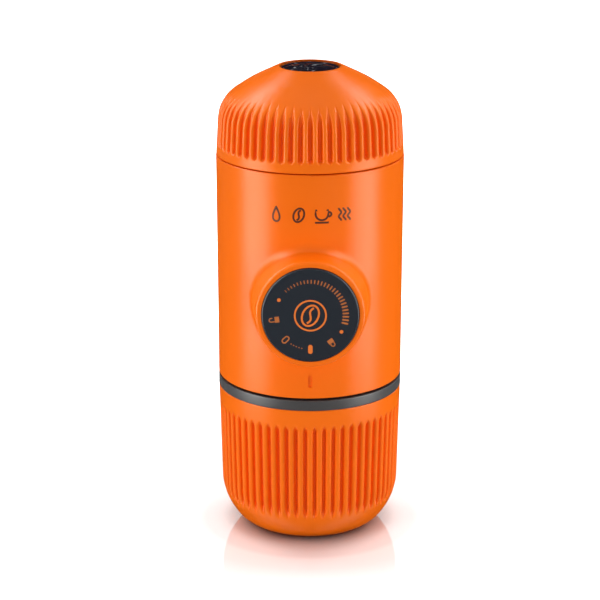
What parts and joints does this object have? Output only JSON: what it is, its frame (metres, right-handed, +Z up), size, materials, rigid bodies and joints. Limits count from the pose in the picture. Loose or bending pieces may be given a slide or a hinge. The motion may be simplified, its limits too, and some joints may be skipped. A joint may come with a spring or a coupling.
{
  "type": "handheld manual espresso maker",
  "caption": "Upright hand-pumped espresso maker with a screw-on fluted water tank, a round piston button, a screw-in coffee holder and a fluted cup as its foot.",
  "frame": {"origin": "centre of the flat foot under the cup, on the upright axis", "axes": "+Z up along the upright axis, -Y out through the piston"},
  "size_m": [0.061, 0.071, 0.1556],
  "materials": {
    "shell_plastic": "orange moulded plastic, fine matte grain",
    "holder_plastic": "dark grey moulded plastic, satin",
    "inner_plastic": "black-grey moulded plastic, satin",
    "black_plastic": "black moulded plastic, satin gloss",
    "acetal": "off-white acetal, smooth",
    "steel": "stainless steel",
    "silicone": "dark grey silicone, soft matte"
  },
  "bodies": {
    "pump_body": {"main_body": "shell_plastic", "tank_socket": "inner_plastic", "group_head": "inner_plastic", "frame_screws": "steel", "strainer": "black_plastic", "air_valve": "silicone", "valve_block": "inner_plastic", "channel_seals": "silicone", "inlet_seat": "acetal", "inlet_spring": "steel", "inlet_retainer": "acetal", "outlet_seat": "acetal", "outlet_spring": "steel", "outlet_retainer": "acetal", "pump_cylinder": "acetal", "piston_guide": "black_plastic", "return_spring": "steel", "shower_screen": "steel", "screen_screw": "steel", "group_gasket": "silicone"},
    "tank_seal": {"tank_gasket": "silicone"},
    "tank": {"tank_liner": "inner_plastic", "tank_shell": "shell_plastic", "tip_disc": "black_plastic"},
    "basket": {"filter_basket": "steel"},
    "coffee_holder": {"holder": "holder_plastic", "holder_bowl": "holder_plastic", "grip_ring": "silicone", "nozzle": "black_plastic", "crema_spring": "steel"},
    "pressure_valve": {"crema_poppet": "acetal"},
    "drinking_cup": {"cup": "shell_plastic"},
    "measuring_scoop": {"scoop": "black_plastic"},
    "plunger": {"plunger_rod": "acetal", "plunger_seals": "silicone", "plunger_clip": "steel"},
    "piston_head": {"piston_sleeve": "inner_plastic", "piston_cap": "black_plastic"},
    "inlet_valve_ball": {"inlet_ball": "steel"},
    "outlet_valve_ball": {"outlet_ball": "steel"}
  },
  "joints": [
    {"name": "tank_turn", "type": "hinge", "parent": "tank_seal", "child": "tank", "pos_m": [0, 0, 0.127], "axis": [0, 0, 1], "range_deg": [0, 1200]},
    {"name": "tank_rise", "type": "slide", "parent": "pump_body", "child": "tank_seal", "axis": [0, 0, 1], "range_m": [0, 0.02]},
    {"name": "holder_turn", "type": "hinge", "parent": "basket", "child": "coffee_holder", "pos_m": [0, 0, 0.053], "axis": [0, 0, -1], "range_deg": [0, 810]},
    {"name": "holder_drop", "type": "slide", "parent": "pump_body", "child": "basket", "axis": [0, 0, -1], "range_m": [0, 0.0135]},
    {"name": "cup_pull", "type": "slide", "parent": "coffee_holder", "child": "drinking_cup", "axis": [0, 0, -1], "range_m": [0, 0.04]},
    {"name": "scoop_lift", "type": "slide", "parent": "drinking_cup", "child": "measuring_scoop", "axis": [0, 0, 1], "range_m": [0, 0.018]},
    {"name": "piston_stroke", "type": "slide", "parent": "pump_body", "child": "plunger", "axis": [0, -1, 0], "range_m": [0, 0.026], "deforming": ["return_spring"]},
    {"name": "piston_turn", "type": "hinge", "parent": "plunger", "child": "piston_head", "pos_m": [0, -0.0379, 0.08435], "axis": [0, -1, 0], "range_deg": [0, 45]},
    {"name": "inlet_valve", "type": "slide", "parent": "pump_body", "child": "inlet_valve_ball", "axis": [0, 0, -1], "range_m": [0, 0.0012], "stiffness_N_per_m": 20, "springref_m": -0.001, "deforming": ["inlet_spring"]},
    {"name": "outlet_valve", "type": "slide", "parent": "pump_body", "child": "outlet_valve_ball", "axis": [0, 0, -1], "range_m": [0, 0.0012], "stiffness_N_per_m": 20, "springref_m": -0.001, "deforming": ["outlet_spring"]},
    {"name": "crema_valve", "type": "slide", "parent": "coffee_holder", "child": "pressure_valve", "axis": [0, 0, -1], "range_m": [0, 0.001], "stiffness_N_per_m": 40, "springref_m": -0.002, "deforming": ["crema_spring"]}
  ],
  "couplings": [
    {"joint": "tank_rise", "follows": "tank_turn", "m_per_rad": 0.00095493},
    {"joint": "holder_drop", "follows": "holder_turn", "m_per_rad": 0.00095493}
  ]
}
